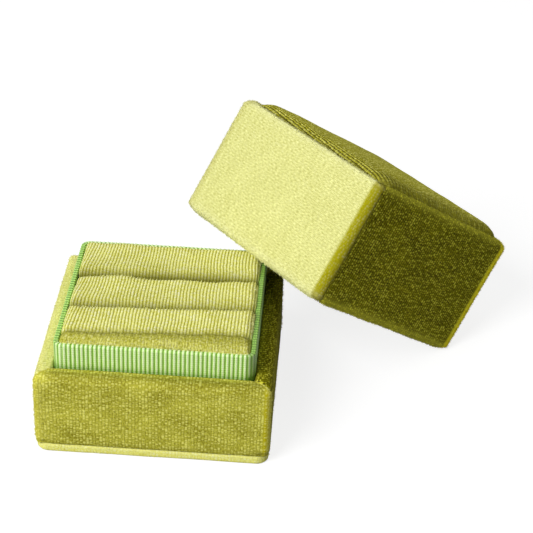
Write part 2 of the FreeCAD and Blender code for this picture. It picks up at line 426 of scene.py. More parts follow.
def edge_pile(body, sheets):
    """Tufts along the edges of a body's velvet, as one piece."""
    tufts = []
    for seed, sheet in enumerate(sheets):
        mesh = grown(sheet, PILE_TREE, {**EDGE_PILE, "Seed": float(seed)}, sheet.data.materials[0])
        mesh.attributes.remove(mesh.attributes["OFBake"])
        tufts.append(new_object(body + "_pile", mesh))
    with bpy.context.temp_override(active_object=tufts[0], selected_editable_objects=tufts):
        bpy.ops.object.join()
    pile = tufts[0]
    pile.data.name = pile.name
    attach(pile, body)


# Sheets swept from a profile

def profile_loop(corners, fine_step=shown_step):
    """Closed loop through corners of (inset, height, round, edge share, shows up to the next corner); a
    corner given by its place alone is sharp and hidden. Gives the loop's points, its outward normals,
    which points show, how near an edge each one is, and the length along it."""
    corners = [(*corner, 0, 0, False)[:5] for corner in corners]
    count = len(corners)
    spots = [np.array(corner[:2]) for corner in corners]
    pieces = []
    for index in range(count):
        spot = spots[index]
        radius = corners[index][2]
        before = spots[index - 1] - spot
        after = spots[(index + 1) % count] - spot
        before = before / np.linalg.norm(before)
        after = after / np.linalg.norm(after)
        if radius == 0:
            pieces.append(spot[None, :])
            continue
        steps = max(arc_least_steps, round(radius * QUARTER / arc_step))
        angles = np.linspace(0, QUARTER, steps + 1)[:, None]
        centre = spot + (before + after) * radius
        pieces.append(centre - after * radius * np.cos(angles) - before * radius * np.sin(angles))
    points = []
    shows = []
    edges = []
    for index in range(count):
        following = (index + 1) % count
        arc = pieces[index]
        shown = corners[index][4]
        points.extend(arc)
        shows.extend([shown or corners[index - 1][4]] * len(arc))
        share = corners[index][3]
        edges.extend(np.full(len(arc), share) if share >= 0 else np.linspace(0, share, len(arc)))
        start = arc[-1]
        run = pieces[following][0] - start
        steps = max(1, round(np.linalg.norm(run) / (fine_step if shown else hidden_step)))
        for step in range(1, steps):
            points.append(start + run * step / steps)
            shows.append(shown)
            edges.append(0.0)
    points = np.array(points)
    ahead = np.roll(points, -1, 0)
    behind = np.roll(points, 1, 0)
    area = np.sum(points[:, 0] * ahead[:, 1] - ahead[:, 0] * points[:, 1]) / 2
    tangent = ahead - behind
    normal = np.stack([tangent[:, 1], -tangent[:, 0]], 1) * np.sign(area)
    normal = normal / np.linalg.norm(normal, axis=1)[:, None]
    length = np.concatenate([[0], np.cumsum(np.linalg.norm(np.diff(points, axis=0), axis=1))])
    gap = np.abs(length[:, None] - length[None, :])
    reached = np.array(edges)[None, :] * np.exp(-gap / edge_soft)
    nearness = reached.max(1) + reached.min(1)
    return points, normal, np.array(shows, float), nearness, length


def swept_mesh(name, rings, cloth, pile, place, closed_path, bend=None):
    """Mesh through rings of points, capped at its ends unless its path closes. Bend is how far the pile
    is turned over at an upright corner, from one to two past the corner's start, which the finish colours
    partly with painted light; the ribbon carries the painted shade of its flanks in it, and the pads their
    fuzz."""
    stations, count, _ = rings.shape
    index = np.arange(stations * count).reshape(stations, count)
    here = index if closed_path else index[:-1]
    following = np.roll(index, -1, 0) if closed_path else index[1:]
    quads = np.stack([here, np.roll(here, -1, 1), np.roll(following, -1, 1), following], -1)
    faces = quads.reshape(-1, 4).tolist()
    if not closed_path:
        faces.append(index[0].tolist()[::-1])
        faces.append(index[-1].tolist())
    mesh = bpy.data.meshes.new(name)
    mesh.from_pydata((rings.reshape(-1, 3) * MM).tolist(), [], faces)
    corner = np.indices(quads.shape[:2]).reshape(2, -1, 1) + np.array([[0, 0, 1, 1], [0, 1, 1, 0]])[:, None]
    unrolled = np.zeros((len(mesh.loops), 2), np.float32)
    unrolled[:quads.size] = np.moveaxis(corner, 0, -1).reshape(-1, 2) / quads.shape[:2]
    mesh.uv_layers.new(name="OFBake").data.foreach_set("uv", unrolled.ravel())
    work = bmesh.new()
    work.from_mesh(mesh)
    bmesh.ops.recalc_face_normals(work, faces=work.faces)
    work.to_mesh(mesh)
    work.free()
    for title, values in (("cloth", cloth), ("pile", pile)):
        layer = mesh.attributes.new(title, "FLOAT_VECTOR", "POINT")
        layer.data.foreach_set("vector", values.astype(np.float32).ravel())
    if bend is not None:
        layer = mesh.attributes.new("bend", "FLOAT", "POINT")
        layer.data.foreach_set("value", bend.astype(np.float32).ravel())
    mesh.transform(place)
    mesh.shade_smooth()
    return new_object(name, mesh)


def both_ends(values, columns, sign=1):
    """Adds what follows the flat columns of a panel at its left end too, mirrored."""
    return np.concatenate([sign * values[columns:][::-1], values])


def wall_rings(corners, wall, wide, softening, support, gathers, bends, fringes, band, tucked):
    """Rings of a wall panel on the -Y side. A wide panel turns round both corners to its seams.
    Softening gives how far the foot draws in at each end and then how far the top does, down to what
    supports it, gathers how far the top is drawn in, bends how far the pile turns over in a band there and
    fringes how far it stands out with a painted highlight, or how deep the painted shade is if below zero;
    a tucked panel is dented by the folds at its lower corners, with shade painted in the dents."""
    points, normal, shows, nearness, length = profile_loop(corners)
    inside = half - wall
    seam = half - corner_round - seam_land
    columns = round(2 * half / wale_pitch * wale_samples)
    share = np.linspace(-1, 1, columns)[:, None]
    if wide:
        land = np.linspace(0, 1, land_steps + 1)[1:, None]
        angle = np.linspace(0, QUARTER, turn_steps + 1)[1:, None]
        flat_gap = (1 - np.abs(share)) * (half - corner_round)
        end_gap = np.concatenate([
            seam_land + corner_round * QUARTER + flat_gap,
            seam_land + corner_round * (QUARTER - angle),
            seam_land * (1 - land)])
        corner_gap = np.concatenate([flat_gap, angle * 0, seam_land * land])
    else:
        end_gap = (1 - np.abs(share)) * seam
        corner_gap = (1 - np.abs(share)) * seam + seam_land
    sunk = np.maximum(seam_round - end_gap, 0)
    tuck = seam_round - np.sqrt(seam_round ** 2 - sunk ** 2)
    inset = points[None, :, 0] - tuck * normal[None, :, 0] * shows
    height = points[None, :, 1] - tuck * normal[None, :, 1] * shows
    foot, top = points[:, 1].min(), points[:, 1].max()
    above_tuck = points[None, :, 1] - foot - tuck_height
    dent = np.hypot((corner_gap - tuck_place) / tuck_length, above_tuck / tuck_width)
    dent = tucked * np.exp(-dent ** 2) * (points[None, :, 0] < velvet / 2)
    inset = inset + tuck_depth * dent
    radius = np.maximum(corner_round - inset, least_round)
    core = half - inset - radius
    mitre = np.maximum(-seam + inset / wall * (seam - inside), -core + seam_gap)
    if wide:
        flat = slice(0, columns)
        bend = slice(columns, columns + turn_steps)
        rest = slice(columns + turn_steps, None)
        x = np.concatenate([
            share * core[flat],
            core[bend] + radius[bend] * np.sin(angle),
            half - inset[rest]])
        y = np.concatenate([
            inset[flat] - half,
            -core[bend] - radius[bend] * np.cos(angle),
            -core[rest] + land * (mitre[rest] + core[rest])])
        across = np.concatenate([
            share * core[flat],
            core[bend] + corner_round * angle,
            core[rest] + corner_round * QUARTER + seam_land * land])
        x, across = (both_ends(values, columns, -1) for values in (x, across))
        y, height, dent, end_gap, corner_gap = (
            both_ends(values, columns) for values in (y, height, dent, end_gap, corner_gap))
    else:
        x = share * (-mitre - seam_gap)
        y = inset - half
        across = x
    drawn = np.exp(-(corner_gap / corner_softness) ** 2)
    foot_share = np.clip(1 - (height - foot) / soft_depth, 0, 1) ** 2
    top_share = np.clip(1 - (top - height) / soft_depth, 0, 1) ** 2
    ends = [np.where(x < 0, left_end, right_end) for left_end, right_end in softening]
    topmost = np.clip(1 - (top - height) / gather_depth, 0, 1) ** 2
    near_end = np.exp(-(corner_gap / gather_reach) ** 2)
    gathered = np.where(x < 0, *gathers) * near_end * topmost / math.sqrt(2)
    x = x - np.sign(x) * gathered
    y = y + gathered
    supported = np.minimum(height, support)
    height = np.maximum(height + drawn * (ends[0] * foot_share - ends[1] * top_share), supported)
    rings = np.stack([x, y, height], -1)
    # Edge: above zero the pile stands out at the corners, seams and edges, with a painted highlight; below
    # zero, and in the dents, shade is painted.
    corner = np.exp(-corner_gap / edge_soft) * np.ones_like(x)
    fringe = np.where(x < 0, *fringes)
    stitched = np.exp(-end_gap / seam_round) * np.where(fringe < 0, shaded_seam, 1.0)
    fringe = corner * fringe
    standing = np.maximum(np.maximum(fringe, stitched), nearness[None, :])
    shaded = np.minimum(nearness, 0)[None, :] + np.minimum(fringe, 0)
    edge = (standing + shaded) * (1 - dent) - tuck_shade * dent
    turned = np.clip((band - end_gap) / bend_reach, 0, 1) + np.clip(1 - end_gap / band, 0, 1)
    bend = turned * np.where(x < 0, *bends) * np.ones_like(x)
    return rings, across, np.broadcast_to(length, x.shape), edge, np.broadcast_to(shows, x.shape), bend


def base_loop(shoulder_edge, ledge_edge):
    top = ledge + ledge_pile
    return [
        (velvet, plate_top),
        # Painted shade along the foot, growing over its round
        (0, plate_top, foot_round, -0.25, True),
        (0, top, shoulder_round, shoulder_edge, True),
        (base_wall, top, ledge_round, ledge_edge, False),
        (base_wall, plate_top),
        (base_wall - velvet, plate_top),
        (base_wall - velvet, ledge - velvet),
        (velvet, ledge - velvet),
    ]


def lid_loop(rim_edge):
    top = lid_top - lip_sink
    flange = lip_width + lip_flange
    flange_top = pad_seat + flange_rise
    return [
        (velvet, pad_seat),
        (flange, pad_seat),
        (flange, flange_top),
        (lip_width, flange_top, 0, 0, True),
        # The lip's edges and the rim stand out with a painted highlight
        (lip_width, top, lip_round, 0.9, True),
        (0, top, lip_round, 0.9, True),
        (0, 0, rim_round, rim_edge, True),
        (lid_wall, 0, rim_round, rim_edge, True),
        (lid_wall, rim_turn_in),
        (lid_wall - velvet, rim_turn_in),
        (lid_wall - velvet, velvet),
        (velvet, velvet),
    ]


SIDES = {"front": 0, "right": 1, "back": 2, "left": 3}
END_CORNERS = {"front": ("front_left", "front_right"), "right": ("front_right", "back_right"),
               "back": ("back_right", "back_left"), "left": ("back_left", "front_left")}
# How strongly the pile on each lid panel's rim stands out with a painted highlight
RIMS = {"front": 1.0, "right": 1.0, "back": 0.0, "left": 0.5}
LID_DROP = {"front_left": -0.3, "front_right": 0.15, "back_right": 0.1, "back_left": 0.3}
LID_RISE = {"front_left": 0.5, "front_right": 0.4, "back_right": 0.5, "back_left": 0.5}
LID_GATHER = {"front_left": 2.2, "front_right": 0.1, "back_right": 1.6, "back_left": 1.5}
BASE_DROP = dict.fromkeys(LID_DROP, 0.2)
BASE_RISE = dict.fromkeys(LID_DROP, 0.0)
# Edge shares at each base panel's shoulder and at its ledge's inner edge: above zero the pile stands out with
# a painted highlight, below zero shade is painted, on the front's shoulder and ledge and on the right's
# shoulder
SHOULDERS = {"front": (-0.45, -0.3), "right": (-0.2, 0.2), "back": (0.1, 0.4), "left": (0.3, 0.4)}
# Whether each end of a panel turns round its corner, how far its pile turns over there, and how far
# it stands out with a painted highlight, or how deep the painted shade is if below zero
ENDS = {"front": ((True, 0.25, 0.8), (True, 1.0, 0.0)), "right": ((False, 0.0, -0.1), (True, 1.0, 0.8)),
        "back": ((False, 0.0, 0.8), (True, 0.25, 0.8)), "left": ((False, 0.0, 0.8), (False, 0.0, 0.8))}


def wall_panel(title, side, corners, wall, softening, place, level_wales, seed):
    """Velvet panel of one wall."""
    tucked = float(side == "front" and place is BASE)
    band = base_band if place is BASE else lid_band
    support = plate_top if place is BASE else pad_seat + flange_rise
    gathers = [0.0 if place is BASE else LID_GATHER[corner] for corner in END_CORNERS[side]]
    softening = [[drawn[corner] for corner in END_CORNERS[side]] for drawn in softening]
    wraps, bends, fringes = zip(*ENDS[side])
    ends = (softening, support, gathers, bends, fringes, band, tucked)
    left, right = (wall_rings(corners, wall, wide, *ends) for wide in wraps)
    before = left[0][:, 0, 0] < 0
    after = right[0][:, 0, 0] >= 0
    rings, across, along, edge, shows, bend = (
        np.concatenate([first[before], second[after]]) for first, second in zip(left, right))
    first, second = (along, across) if level_wales else (across, along)
    cloth = np.stack([first, second, np.full_like(edge, seed)], -1)
    pile = np.stack([shows, shows, edge], -1)
    turned = place @ Matrix.Rotation(SIDES[side] * QUARTER, 4, "Z")
    return swept_mesh(title, rings, cloth, pile, turned, False, bend)


# Sheets that run all the way round

def round_rings(reach, corner, least, corners, step, fine_step=shown_step):
    """Rings right round a rounded square. Gives the length along it, the share of each ring that
    lies in a corner, and the whole length round."""
    points, _, shows, nearness, length = profile_loop(corners, fine_step)
    inset, height = points[None, :, 0], points[None, :, 1]
    radius = np.maximum(corner - inset, least)
    core = reach - inset - radius
    run = 2 * (reach - corner)
    columns = round(run / step)
    share = np.linspace(-1, 1, columns, endpoint=False)[:, None]
    bends = max(corner_least_steps, round(corner * QUARTER / step))
    angle = np.linspace(0, QUARTER, bends, endpoint=False)[:, None]
    x = np.concatenate([share * core, core + radius * np.sin(angle)])
    y = np.concatenate([0 * share + inset - reach, -core - radius * np.cos(angle)])
    far = np.concatenate([(share + 1) * run / 2, run + angle * corner])
    bent = np.concatenate([0 * share, np.sin(2 * angle)])
    side_length = run + corner * QUARTER
    rings = []
    around = []
    for quarter in range(len(SIDES)):
        cosine = round(math.cos(quarter * QUARTER))
        sine = round(math.sin(quarter * QUARTER))
        rings.append(np.stack([cosine * x - sine * y, sine * x + cosine * y, height + 0 * x], -1))
        around.append(far + quarter * side_length)
    shape = (len(SIDES) * len(far), points.shape[0])
    around = np.broadcast_to(np.concatenate(around), shape)
    bent = np.broadcast_to(np.tile(bent, (len(SIDES), 1)), shape)
    spread = [np.broadcast_to(values, shape) for values in (length, nearness, shows)]
    return np.concatenate(rings), around, bent, *spread, len(SIDES) * side_length


def neck_ribbon():
    """Grosgrain ribbon folded over the top of the neck, its ribs upright and flatter round the corners."""
    corners = [
        (0, ribbon_foot, 0, 0, True),
        (0, neck_top, ribbon_edge, 0.6, True),
        (neck_wall, neck_top, ribbon_edge, 0.6, True),
        (neck_wall, neck_top - ribbon_turn_in),
        (neck_wall - ribbon, neck_top - ribbon_turn_in),
        (neck_wall - ribbon, neck_top - ribbon),
        (ribbon, neck_top - ribbon),
        (ribbon, ribbon_foot),
    ]
    step = rib_pitch / rib_samples
    rings, around, bent, length, edge, shows, whole = round_rings(
        neck_half, neck_corner, ribbon, corners, step, ribbon_step)
    pitch = whole / round(whole / rib_pitch)
    cloth = np.stack([around, length, 0 * around], -1)
    # Painted shade near the ledge and on the right side of the neck, kept below zero in the pile attribute
    above_ledge = np.clip(rings[..., 2] - ledge - ledge_pile, 0, None)
    shade = ledge_shade * np.exp(-above_ledge / ledge_shade_reach)
    shade = shade + right_shade * (rings[..., 0] > neck_half - neck_corner)
    pile = np.stack([shows * (1 - rib_flatness * bent), shows, edge * 0 - shade], -1)
    # Painted shade on the flanks of the neck, kept as bend
    sideways = np.abs(rings[..., 0]) - np.abs(rings[..., 1])
    shaded_flank = np.clip(sideways / neck_corner + 0.5, 0, 1)
    band = swept_mesh("neck_grosgrain", rings, cloth, pile, BASE, True, shaded_flank)
    raised(band, {**RIBBON_CLOTH, "Rib Pitch": pitch}, GROSGRAIN)
    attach(band, "base")
    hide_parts("neck_ribbon")
    ribbon_width = neck_top - ribbon_foot + neck_wall + ribbon_turn_in
    whole * MM
    ribbon_width * MM


def bottom_plate():
    """Velvet wrapped under and round the bottom plate's board."""
    reach = plate_half
    middle = reach - 2 * closing_round
    corners = [
        (velvet, velvet),
        (velvet, plate_top, 0, 0, True),
        # The plate's top round stands out with a painted highlight
        (0, plate_top, plate_round, 0.7, True),
        (0, 0, plate_round, 0, False),
        (middle, 0),
        (middle, velvet),
    ]
    step = wale_pitch / wale_samples
    rings, around, _, length, edge, shows, _ = round_rings(reach, plate_corner, closing_round, corners, step)
    under = rings[..., 2] < plate_round / 2
    across = np.where(under, rings[..., 0], around)
    along = np.where(under, rings[..., 1], length)
    cloth = np.stack([across, along, np.full_like(across, PLATE_SEED)], -1)
    pile = np.stack([shows, shows, edge], -1)
    plate = swept_mesh("bottom_plate_cloth", rings, cloth, pile, BASE, True)
    raised(plate, WALL_CLOTH, PLATE_VELVET)
    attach(plate, "base")
    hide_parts("bottom_plate_velvet")
    cut = 2 * (reach + plate_top) * MM
    return plate


def lid_linings():
    """Lining panels glued inside the lid's walls and under its top."""
    for side in (*SIDES, "ceiling"):
        name = "lid_ceiling_lining" if side == "ceiling" else "lid_lining_" + side
        if side == "ceiling":
            place = LID @ Matrix.Rotation(-QUARTER, 4, "X")
        else:
            place = LID @ Matrix.Rotation(SIDES[side] * QUARTER, 4, "Z")
        low, high = extent(name, place)
        thickness = high[1] - low[1]
        corners = [
            (0, low[2], lining_round, 0, True),
            (0, high[2], lining_round, 0, False),
            (thickness, high[2]),
            (thickness, low[2]),
        ]
        points, _, shows, nearness, length = profile_loop(corners, lining_step)
        x = np.arange(low[0], high[0], lining_step)[:, None]
        x = np.append(x, [[high[0]]], 0)
        y = high[1] - points[None, :, 0] + 0 * x
        rings = np.stack([x + 0 * y, y, points[None, :, 1] + 0 * x], -1)
        spread = [np.broadcast_to(values, y.shape) for values in (length, shows, nearness)]
        cloth = np.stack([x + 0 * y, spread[0], np.full_like(y, low[0])], -1)
        pile = np.stack([spread[1], spread[1], spread[2]], -1)
        panel = swept_mesh(name.replace("lining", "lining_cloth"), rings, cloth, pile, place, False)
        raised(panel, LINING_CLOTH, LINING)
        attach(panel, "lid")
        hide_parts(name)
        flat = ((high[0] - low[0]) * MM, (high[2] - low[2]) * MM)


# Padded forms

def held_cloth(rings, held):
    """Object of closed rings, in simulation units, with the vertices that the sewing holds."""
    obj = swept_mesh("swelling", rings, 0 * rings, 0 * rings, Matrix.Scale(SWELL_UNIT / MM, 4), False)
    group = obj.vertex_groups.new(name="held")
    group.add(np.flatnonzero(held).tolist(), 1.0, "REPLACE")
    cloth = obj.modifiers.new("cloth", "CLOTH")
    cloth.point_cache.frame_end = swell_frames
    cloth.collision_settings.use_collision = False
    settings = cloth.settings
    settings.vertex_group_mass = group.name
    settings.effector_weights.gravity = 0
    settings.use_pressure = True
    settings.uniform_pressure_force = swell_pressure
    settings.shrink_min = -swell_slack
    return obj


def swelled(rings, held, most):
    """How far each point of a pad moves when its filling swells, by cloth simulation of a coarse copy,
    and never further than the most."""
    stations, count, _ = rings.shape
    along_x = np.linspace(0, stations - 1, round(stations / swell_columns)).round().astype(int)
    along_y = np.linspace(0, count - 1, round(count / swell_rows)).round().astype(int)
    coarse = rings[np.ix_(along_x, along_y)]
    obj = held_cloth(coarse, held[np.ix_(along_x, along_y)].ravel())
    scene = bpy.context.scene
    for number in range(1, swell_frames + 1):
        scene.frame_set(number)
    mesh = obj.evaluated_get(bpy.context.evaluated_depsgraph_get()).data
    points = np.empty(len(mesh.vertices) * 3)
    mesh.vertices.foreach_get("co", points)
    moved = points.reshape(coarse.shape) / SWELL_UNIT - coarse
    scene.frame_set(1)
    bpy.data.meshes.remove(obj.data)
    far = np.linalg.norm(moved, axis=-1, keepdims=True)
    moved = moved * np.minimum(1, most / np.maximum(far, closing_round))
    fine = np.stack([
        [np.interp(np.arange(count), along_y, row) for row in moved[..., axis]] for axis in range(3)], -1)
    fine = np.stack([
        [np.interp(np.arange(stations), along_x, row) for row in fine[..., axis].T] for axis in range(3)], -1)
    return fine.transpose(1, 0, 2)


def pillow(title, half_across, half_along, bottom, crown, shoulder, roll, corner, swell, seed, place,
           shaped):
    """Crowned pad whose wales run along its second axis. Shaped gives, by place on the top, how far it
    is pushed along that axis, how far it drops, where it is fuzzy instead of waled and where shade is
    painted on it."""
    columns = round(2 * half_across / wale_pitch * wale_samples)
    x = np.linspace(-half_across, half_across, columns)[:, None]
    past = np.maximum(np.abs(x) - (half_across - corner), 0)
    reach = half_along - corner + np.sqrt(np.maximum(corner ** 2 - past ** 2, least_round ** 2))
    rows = round(2 * half_along / shown_step)
    spread = np.sin(np.linspace(-QUARTER, QUARTER, rows) * row_crowding) / math.sin(QUARTER * row_crowding)
    y_top = spread[None, :] * reach
    outside_x = np.abs(x) - (half_across - corner)
    outside_y = np.abs(y_top) - (half_along - corner)
    beyond = np.hypot(np.maximum(outside_x, 0), np.maximum(outside_y, 0))
    depth = corner - beyond - np.minimum(np.maximum(outside_x, outside_y), 0)
    climb = 1 - np.clip(depth, 0, roll) / roll
    push, drop, fuzz, painted_shade = shaped(x, y_top)
    z_top = crown - shoulder * (1 - np.sqrt(np.maximum(1 - climb ** 2, 0))) - drop
    sides = np.linspace(0, 1, side_rows + 1)[:-1]
    left_z = bottom + (z_top[:, :1] - bottom) * sides
    right_z = bottom + (z_top[:, -1:] - bottom) * sides[::-1]

    def with_sides(values, left, right):
        return np.concatenate([left + 0 * left_z, values + 0 * z_top, right + 0 * right_z], 1)

    y = with_sides(y_top + push, -reach, reach)
    z = np.concatenate([left_z, z_top, right_z], 1)
    rings = np.stack([x + 0 * y, y, z], -1)
    held = with_sides(0 * z_top, 1, 1)
    held[[0, -1]] = 1
    rings[..., 2] = rings[..., 2] - swell_start * swell * (1 - held)
    rings = rings + swelled(rings, held, swell)
    step = np.linalg.norm(np.diff(rings, axis=1), axis=2)
    along = np.concatenate([np.zeros((columns, 1)), np.cumsum(step, 1)], 1)
    along = along - along[:, along.shape[1] // 2:along.shape[1] // 2 + 1]
    # A highlight is painted near the pad's edges and on the fuzz, where the pile stands out; painted shade
    # takes its place where the shape puts it
    rim = np.exp(-np.clip(depth, 0, None) / edge_soft)
    edge = np.maximum(rim, fuzz_edge * fuzz) * (1 - painted_shade) - painted_shade
    fanned = x - wale_fan * along * bump(x + half_across, wale_fan_reach)
    cloth = np.stack([fanned, along, np.full_like(y, seed)], -1)
    shares = (1 - fuzz, 1 + fuzz_nap * fuzz, edge)
    pile = np.stack([with_sides(values, 0, 0) for values in shares], -1)
    return swept_mesh(title, rings, cloth, pile, place, False, with_sides(fuzz, 0, 0))


def bump(at, spread):
    return np.exp(-(at / spread) ** 2)


# Slots, valley and lip of the cushion, with the shade painted in them, at the bars' ends and on the pad
front_slot_slant = 2.5
back_slot_slant = 1.6
back_slot_start = -0.9
slot_reach_before = 0.9
slot_reach_behind = 0.6
slot_fall = 1.2
slot_dark = 1.2
slot_darkest = 0.95
slot_dark_reach = 1.6
end_dark = 0.5
end_dark_reach = 1.2
valley_place = -2.1
valley_slant = 0.062
valley_width = 0.55
valley_fall = 0.65
valley_dark = 0.3
lip_softness = 0.25
lip_fall = 0.42
lip_fuzz = 0.9
lip_dark = 0.62
lip_fade = 0.6
lip_blotches = 0.2
swell_place = -6.75
swell_width = 0.55
swell_rise = 0.12
swell_reach = 0.55
front_lift = 0.25
left_sag = 0.4
pad_dark = 0.75
pad_dark_reach = 0.9
pad_fuzz_reach = 3.5


def slot_sides(y):
    """Nearness to the slot before and behind a bar."""
    before = np.exp(-(bar_half_width + y) / slot_reach_before)
    return before, np.exp(-(bar_half_width - y) / slot_reach_behind)


def across_cushion(x):
    """From zero at a bar's left end to one at its right."""
    return (x + bar_half_length) / (2 * bar_half_length)


def front_slot(x):
    """How far back the front slot lies, which slants to the right."""
    return front_slot_slant * across_cushion(x)


def back_slot(x):
    return back_slot_slant * across_cushion(x) + back_slot_start


def bar_shade(x, y):
    """Shade of a bar, deepest in the slot before it and at its left end, down inside the neck."""
    slot = np.minimum(slot_dark * np.exp(-(bar_half_width + y) / slot_dark_reach), slot_darkest)
    return np.maximum(slot, end_shade(x))


def end_shade(x):
    return end_dark * np.exp(-(bar_half_length + x) / end_dark_reach)


def front_bar_shape(x, y):
    """The front bar falls into a creased valley and swells to a fuzzy lip over the ribbon's edge, with shade
    painted in the valley, on the lip, uneven in blotches, and at its left end.
    """
    valley = valley_place + valley_slant * x + 0.12 * np.sin(x * 0.55) + 0.1 * np.sin(x * 1.7)
    lip = 1 / (1 + np.exp((y - valley) / lip_softness))
    drop = lip_fall * lip + valley_fall * bump(y - valley + 0.1, valley_width)
    swell = bump(y - swell_place, swell_width)
    behind = np.clip((y - valley) / (bar_half_width - valley), 0, 1)
    lift = front_lift * (1 + across_cushion(x)) * behind
    back_wave = slot_sides(y)[1] * 0.15 * np.sin(x * 0.31 + 0.6)
    drop = drop - swell_rise * swell - lift + back_wave
    push = front_slot(x) * behind - swell_reach * swell
    forward = np.clip((valley - y) / (valley + bar_half_width), 0, 1)
    # Painted shade on the lip, fading forwards and uneven in blotches
    blotches = lip_blotches * np.sin(2.6 * x + 3 * y) * np.sin(0.9 * x - 2 * y + 1)
    lip_shade = np.maximum(lip_dark - lip_fade * forward + blotches, 0)
    painted_shade = np.maximum(valley_dark * bump(y - valley, 1.0) + lip_shade * lip, end_shade(x))
    return push, drop, lip_fuzz * lip, painted_shade


def middle_bar_shape(x, y):
    """The middle bar's back edge rises in a soft wave at the left."""
    before, behind = slot_sides(y)
    wave = 0.5 * bump(x + 12, 6.5) + 0.15 * np.sin(x * 0.45) - 0.2
    back_half = np.clip((y + 2.0) / 6.0, 0, 1)
    left_fall = 0.7 * bump(x + bar_half_length, 3.0)
    drop = slot_fall * before + 0.1 * behind - wave * back_half + left_fall * back_half
    back_share = (y + bar_half_width) / (2 * bar_half_width)
    push = front_slot(x) * (1 - back_share) + back_slot(x) * back_share
    return push, drop, 0 * y, bar_shade(x, y)


def back_bar_shape(x, y):
    """The back bar is fuller at the left, and sags at its end there."""
    before = slot_sides(y)[0]
    sag = left_sag * (1 - across_cushion(x))
    wave = 0.25 * bump(x + 13, 8.0) + 0.1 * np.sin(x * 0.5 + 1.0) - sag
    drop = slot_fall * before - wave * np.clip((y + 6.0) / 6.0, 0, 1)
    push = back_slot(x) * (bar_half_width - y) / (2 * bar_half_width)
    return push, drop, 0 * y, bar_shade(x, y)


def pad_shape(x, y):
    """The padded top is in shade along the walls' edges, and fuzzy where its wales end."""
    gap = np.clip(pad_half - np.maximum(np.abs(x), np.abs(y)), 0, None)
    end_gap = np.clip(pad_half - np.abs(y), 0, None)
    painted_shade = pad_dark * np.exp(-gap / pad_dark_reach)
    return 0 * y, pad_sink + 0 * y, bump(end_gap, pad_fuzz_reach), painted_shade


def cushion_bars():
    bars = []
    shapes = {"front": front_bar_shape, "middle": middle_bar_shape, "back": back_bar_shape}
    for index, (name, shape) in enumerate(shapes.items()):
        low, high = extent("cushion_velvet_" + name)
        middle = (low[1] + high[1]) / 2
        place = Matrix.Translation((0, middle * MM, 0))
        bar = pillow("cushion_bar_" + name, bar_half_length, bar_half_width, bar_bottom, bar_crown,
                     bar_shoulder, bar_roll, bar_corner, bar_swell, BAR_SEED * index, place, shape)
        raised(bar, BAR_CLOTH, CORDED_VELVET)
        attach(bar, "base")
        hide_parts("cushion_velvet_" + name, "cushion_foam_" + name)
        bars.append(bar)
    return bars


def padded_top():
    turned = LID @ Matrix.Rotation(QUARTER, 4, "Z")
    pad = pillow("padded_top", pad_half, pad_half, pad_seat, pad_crown, pad_crown - pad_seat - pad_edge,
                 pad_roll, pad_corner, pad_swell, PAD_SEED, turned, pad_shape)
    raised(pad, PAD_CLOTH, PAD_VELVET)
    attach(pad, "lid")
    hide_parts("dome_velvet", "dome_foam")


# Finishes

strokes_across = 3.2
strand_waver = 0.8
dash_stagger = 5.17
dashes_along = 2.1
patch_across = 0.13
patch_along = 0.17
patch_offset = 3
crown_mean = 0.64
glint_height = 0.6
painted_shade_share = 0.3
thread_pitch = 0.6
thread_share = 0.3
weave_pitch = 0.5


def surface(name):
    """New material with its tree and its shader node."""
    material = bpy.data.materials.new(name)
    material.use_nodes = True
    shader = material.node_tree.nodes["Principled BSDF"]
    return material, Tree(material.node_tree), shader


def join(tree, shader, **links):
    """Links what varies and sets what doesn't on the shader's own sockets."""
    for key, value in links.items():
        socket = shader.inputs[key.replace("_", " ")]
        if isinstance(value, Value):
            tree.tree.links.new(value.socket, socket)
        else:
            socket.default_value = value


def woven_attribute(tree, name):
    return tree.parts(tree.node("ShaderNodeAttribute", {"attribute_name": name}, {}, 1))


def single_attribute(tree, name):
    return tree.node("ShaderNodeAttribute", {"attribute_name": name}, {}, "Fac")


# Colours of turned pile at the start of the band and at its end, and how soon the second comes in. They
# are partly the pile's own colour and partly painted light: lit and dim copies for corners in and out of
# the lamp's light, painted shade on the cushion's lip, and a painted highlight on the ridge by the seam at
# the end of LOW_BEND.
LIT_BEND = ((0.41, 0.375, 0.004), (0.24, 0.215, 0.002), 0.1)
CORD_BEND = ((0.50, 0.485, 0.03), (0.16, 0.15, 0.004), 0.55)
LOW_BEND = ((0.60, 0.53, 0.004), (1.0, 0.97, 0.25), -0.1)
DIM_BEND = ((0.95, 0.84, 0.02), (0.55, 0.48, 0.01), 0.1)


